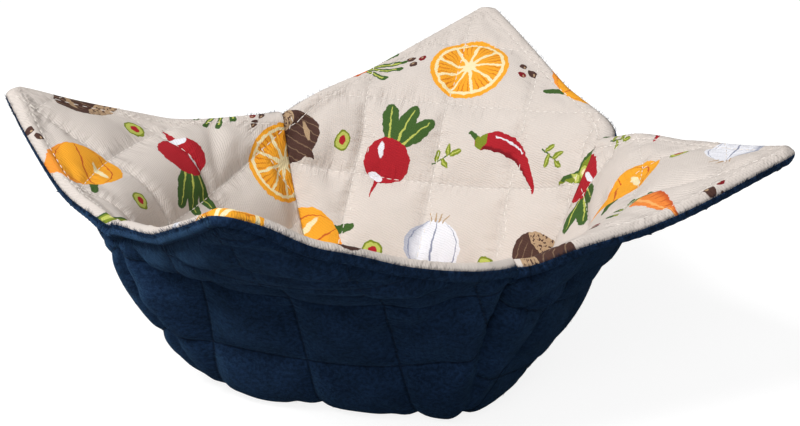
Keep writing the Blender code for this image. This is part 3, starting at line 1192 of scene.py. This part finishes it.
def makeWaddingSheet(name, side, material):
    mesh = cutSquare(wadding["cell"], wadding["edge"])
    flat = mesh.verts.layers.float_vector.new("flat")

    def lay(verts, far):
        x = np.array([vert[flat][0] for vert in verts])
        y = np.array([vert[flat][1] for vert in verts])
        depth = wadding["gap"]
        if far:
            depth = faceDepth(x, y, side, wadding["fullness"], filling=True) - pad["cloth"] - wadding["gap"]
            depth = np.maximum(depth - wadding["spare"], 2 * wadding["gap"])
        for vert, place in zip(verts, drape(x, y, side * depth)):
            place[2] = max(place[2], pad["cloth"] + wadding["gap"])
            vert.co = place

    for vert in mesh.verts:
        vert[flat] = vert.co
    lay(mesh.verts[:], False)
    bmesh.ops.remove_doubles(mesh, verts=mesh.verts[:], dist=step / 100)
    grown = bmesh.ops.extrude_face_region(mesh, geom=mesh.faces[:])["geom"]
    lay([item for item in grown if isinstance(item, bmesh.types.BMVert)], True)
    bmesh.ops.recalc_face_normals(mesh, faces=mesh.faces[:])
    return fromBmesh(name, mesh, material)


outerWadding = makeWaddingSheet("outerWadding", -1, waddingFibre)
liningWadding = makeWaddingSheet("liningWadding", 1, waddingFibre)
print("wadding laid in")

stitch = {
    "length": 0.0022,
    "gap": 0.0007,
    "width": 0.00038,
    "height": 0.00032,
    "reach": 0.006,             # how far off the cloth the needle looks for it
    "offDart": 0.0018,
    "offRim": 0.0012,
    "offCorner": 0.009,
    "offFloor": 0.002,          # none under the base, where they would stand in the floor
    "shortest": 0.012,
}


# The place on a cloth under or over a point of the form
def onSkin(skin, place, up, above, below):
    return skin.ray_cast(Vector(place) + up * above, -up, above + below)[:2]


# Adds one run of small shapes to a growing mesh
def gather(whole, run):
    part = bpy.data.meshes.new("run")
    run.to_mesh(part)
    run.free()
    whole.from_mesh(part)
    bpy.data.meshes.remove(part)


def offDarts(x, y):
    return (fromDart(x, y) > stitch["offDart"]) & (fromRim(x, y) > stitch["offRim"])


# Flat places and headings of all stitches along the quilting lines and round the rim
def stitchPlaces():
    pace = stitch["length"] + stitch["gap"]
    half = square["halfDiagonal"]
    runs = []
    lines = range(-math.ceil(half / square["pitch"]), math.ceil(half / square["pitch"]) + 1)
    for origin, turned in ((square["quiltX"], False), (square["quiltY"], True)):
        for number in lines:
            offset = origin + number * square["pitch"]
            reach = half - abs(offset)
            if reach < stitch["shortest"]:
                continue
            along = np.arange(-reach, reach, pace)
            fixed = np.full(len(along), offset)
            runs.append((along, fixed, 1.0, 0.0) if turned else (fixed, along, 0.0, 1.0))
    inset = half - square["topstitch"] * math.sqrt(2)
    slant = math.sqrt(0.5)
    for sideX, sideY in ((1, 1), (-1, 1), (-1, -1), (1, -1)):
        along = np.arange(stitch["offCorner"], inset - stitch["offCorner"], pace * slant)
        runs.append((sideX * (inset - along), sideY * along, -sideX * slant, sideY * slant))
    for x, y, headX, headY in runs:
        keep = offDarts(x, y)
        yield x[keep], y[keep], headX, headY


# Sews one run of stitches on the cloth as it lies
def sewRun(x, y, headX, headY, side, skin):
    mesh = bmesh.new()
    small = step / 4

    def surface(x, y):
        return drape(x, y, layerDepth(x, y, side, 0.5))

    middle = surface(x, y)
    ahead = surface(x + headX * small, y + headY * small) - middle
    beside = surface(x - headY * small, y + headX * small) - middle
    for centre, forward, aside in zip(middle, ahead, beside):
        run = Vector(forward).normalized()
        up = run.cross(Vector(aside)).normalized() * side
        centre, up = onSkin(skin, centre, up, stitch["reach"], stitch["reach"])
        if centre is None or (side < 0 and centre.z < stitch["offFloor"]):
            continue
        across = up.cross(run).normalized()
        run = across.cross(up)
        turn = Matrix((run, across, up)).transposed().to_4x4()
        sized = Matrix.Diagonal((stitch["length"] / 2, stitch["width"] / 2, stitch["height"] / 2, 1))
        place = Matrix.Translation(centre) @ turn @ sized
        bmesh.ops.create_uvsphere(mesh, u_segments=6, v_segments=4, radius=1, matrix=place)
    return mesh


def makeStitches(name, side, material, cloth):
    sewn = bmesh.new()
    skin = BVHTree.FromObject(cloth, bpy.context.evaluated_depsgraph_get())
    for x, y, headX, headY in stitchPlaces():
        if len(x):
            gather(sewn, sewRun(x, y, headX, headY, side, skin))
    return fromBmesh(name, sewn, material)


liningStitches = makeStitches("liningStitches", 1, whiteThread, liningCloth)
outerStitches = makeStitches("outerStitches", -1, navyThread, outerCloth)
print("stitches sewn")

# Loose fibres of the brushed nap: along the rim, where they stand over the beige edge, and thinly all over
fuzz = {
    "rimCount": 4200,
    "rimShares": (0.10, 0.12, 0.36, 0.42),      # back right, back left, front left, front right
    "rimDepth": 0.00035,
    "faceCount": 4400,
    "perRun": 130,
    "length": 0.0015,
    "faceLength": 0.0007,
    "radius": 0.000072,
    "seed": 5,
    "above": 0.004,
    "below": 0.006,
    "offFloor": 0.0015,
    "offDart": 0.0004,
}


# Random flat places with the way each fibre leans on the flat cloth
def fibrePlaces():
    dice = np.random.default_rng(fuzz["seed"])
    half = square["halfDiagonal"]
    along = dice.uniform(-1, 1, fuzz["rimCount"])
    inset = fuzz["rimDepth"] * dice.uniform(0, 1, fuzz["rimCount"]) ** 2 * math.sqrt(2)
    x, y = (half - inset) * (1 + along) / 2, (half - inset) * (1 - along) / 2
    turns = dice.choice(4, fuzz["rimCount"], p=fuzz["rimShares"]) * math.pi / 2
    headX, headY = np.full(len(x), math.sqrt(0.5)), np.full(len(x), math.sqrt(0.5))
    ring = [np.cos(turns) * a - np.sin(turns) * b for a, b in ((x, y), (headX, headY))]
    ringY = [np.sin(turns) * a + np.cos(turns) * b for a, b in ((x, y), (headX, headY))]
    spread = dice.uniform(-half, half, (fuzz["faceCount"] * 2, 2))
    spread = spread[np.abs(spread).sum(1) < half - square["topstitch"]]
    lean = dice.uniform(0, 2 * math.pi, len(spread))
    x, y = np.concatenate([ring[0], spread[:, 0]]), np.concatenate([ringY[0], spread[:, 1]])
    headX, headY = np.concatenate([ring[1], np.cos(lean)]), np.concatenate([ringY[1], np.sin(lean)])
    length = np.where(np.arange(len(x)) < fuzz["rimCount"], fuzz["length"], fuzz["faceLength"])
    keep = (fromDart(x, y) > fuzz["offDart"]) & (fromRim(x, y) > 0)
    return [values[keep] for values in (x, y, headX, headY, length * dice.uniform(0.5, 1.3, len(x)))], dice


def makeFuzz(name, side, material, cloth):
    (x, y, headX, headY, length), dice = fibrePlaces()
    skin = BVHTree.FromObject(cloth, bpy.context.evaluated_depsgraph_get())
    small = step / 4
    middle, ahead, beside = (
        drape(x + moveX, y + moveY, layerDepth(x + moveX, y + moveY, side, 0.5))
        for moveX, moveY in ((0, 0), (-headX * small, -headY * small), (-headY * small, headX * small))
    )
    combed = bmesh.new()
    for start in range(0, len(x), fuzz["perRun"]):
        run = bmesh.new()
        for number in range(start, min(start + fuzz["perRun"], len(x))):
            centre, forward = Vector(middle[number]), Vector(middle[number] - ahead[number]).normalized()
            up = forward.cross(Vector(beside[number] - middle[number])).normalized() * side
            root, normal = onSkin(skin, centre, up, fuzz["above"], fuzz["below"])
            if root is None or root.z < fuzz["offFloor"]:
                continue
            lie = forward * dice.uniform(0.6, 1.4) + normal * dice.uniform(0.25, 0.9)
            lie = (lie + forward.cross(up) * dice.uniform(-0.7, 0.7)).normalized()
            turn = lie.to_track_quat("Z", "Y").to_matrix().to_4x4()
            place = Matrix.Translation(root + lie * length[number] * 0.45) @ turn
            bmesh.ops.create_cone(
                run, segments=3, radius1=fuzz["radius"], radius2=fuzz["radius"] / 4, depth=length[number],
                cap_ends=True, matrix=place,
            )
        gather(combed, run)
    return fromBmesh(name, combed, material)


outerFuzz = makeFuzz("outerFuzz", -1, makeFibre("navyNap", (0.0050, 0.0210, 0.0560)), outerCloth)
print("nap combed")

for piece, node in ((outerWadding, "outer_batting"), (liningWadding, "lining_batting")):
    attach(piece, "root")
    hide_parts(node)

for piece, node, slotName, extras in (
    (outerCloth, "outer_cover", "outer_cotton", [outerStitches, outerFuzz]),
    (liningCloth, "lining", "lining_cotton", [liningStitches]),
):
    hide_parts(node)
    for item in [piece, *extras]:
        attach(item, "root")
    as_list(extras)

# Floor, lights and camera
studio = {
    "floorHalf": 3.0,
    "floorShade": 0.26,
    "floorGlow": 0.86,          # seen by the camera alone, for the white ground
    "world": 0.17,
    "azimuth": 19.02,
    "elevation": 18.76,
    "distance": 0.6793,
    "focalPixels": 2072.6,
    "imagePixels": 800,
    "sensor": 36,
    "clipStart": 0.01,
    "target": (0.0042, 0.0039, 0.0506),     # from the middle of the base
}
# Where each light stands, its size and its power
lights = {
    "keyLight": ((-0.50, -0.70, 1.10), 0.6, 19.0),
    "frontLight": ((0.30, -1.10, 0.85), 0.8, 5.70),
    "backLight": ((0.50, 1.20, 0.90), 0.8, 2.66),
}


def makeFloor():
    mesh = bmesh.new()
    bmesh.ops.create_grid(mesh, x_segments=1, y_segments=1, size=studio["floorHalf"])
    material, tree, shader = newMaterial("floorPaper", 0.9)
    shader.inputs["Base Color"].default_value = (*(studio["floorShade"],) * 3, 1)
    shader.inputs["Emission Color"].default_value = (1, 1, 1, 1)
    seen = value(tree.nodes.new("ShaderNodeLightPath").outputs["Is Camera Ray"])
    feed([shader.inputs["Emission Strength"]], seen * studio["floorGlow"])
    fromBmesh("floor", mesh, material)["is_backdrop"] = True


def makeLight(name, place, size, power):
    light = bpy.data.lights.new(name, "AREA")
    light.size = size
    light.energy = power
    lamp = bpy.data.objects.new(name, light)
    lamp.location = place
    lamp.rotation_euler = (Vector((0, 0, 0.05)) - Vector(place)).to_track_quat("-Z", "Y").to_euler()
    bpy.context.scene.collection.objects.link(lamp)


def makeCamera():
    camera = bpy.data.cameras.new("camera")
    camera.sensor_width = studio["sensor"]
    camera.lens = studio["focalPixels"] / studio["imagePixels"] * studio["sensor"]
    camera.clip_start = studio["clipStart"]
    eye = bpy.data.objects.new("camera", camera)
    bpy.context.scene.collection.objects.link(eye)
    azimuth, elevation = math.radians(studio["azimuth"]), math.radians(studio["elevation"])
    level = math.cos(elevation)
    back = Vector((math.sin(azimuth) * level, -math.cos(azimuth) * level, math.sin(elevation)))
    eye.location = Vector(studio["target"]) + Vector((middleX, middleY, 0)) + back * studio["distance"]
    eye.rotation_euler = back.to_track_quat("Z", "Y").to_euler()
    bpy.context.scene.camera = eye


def makeStudio():
    makeFloor()
    for name, (place, size, power) in lights.items():
        makeLight(name, place, size, power)
    world = bpy.data.worlds.new("studio")
    world.use_nodes = True
    world.node_tree.nodes["Background"].inputs["Color"].default_value = (1, 1, 1, 1)
    world.node_tree.nodes["Background"].inputs["Strength"].default_value = studio["world"]
    bpy.context.scene.world = world
    bpy.context.scene.view_settings.view_transform = "Standard"
    makeCamera()


makeStudio()
print("studio set")

bpy.context.view_layer.update()
boxes = {"cad": cadBox, "scene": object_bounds()}
{name: [list(corner) for corner in box] for name, box in boxes.items()}
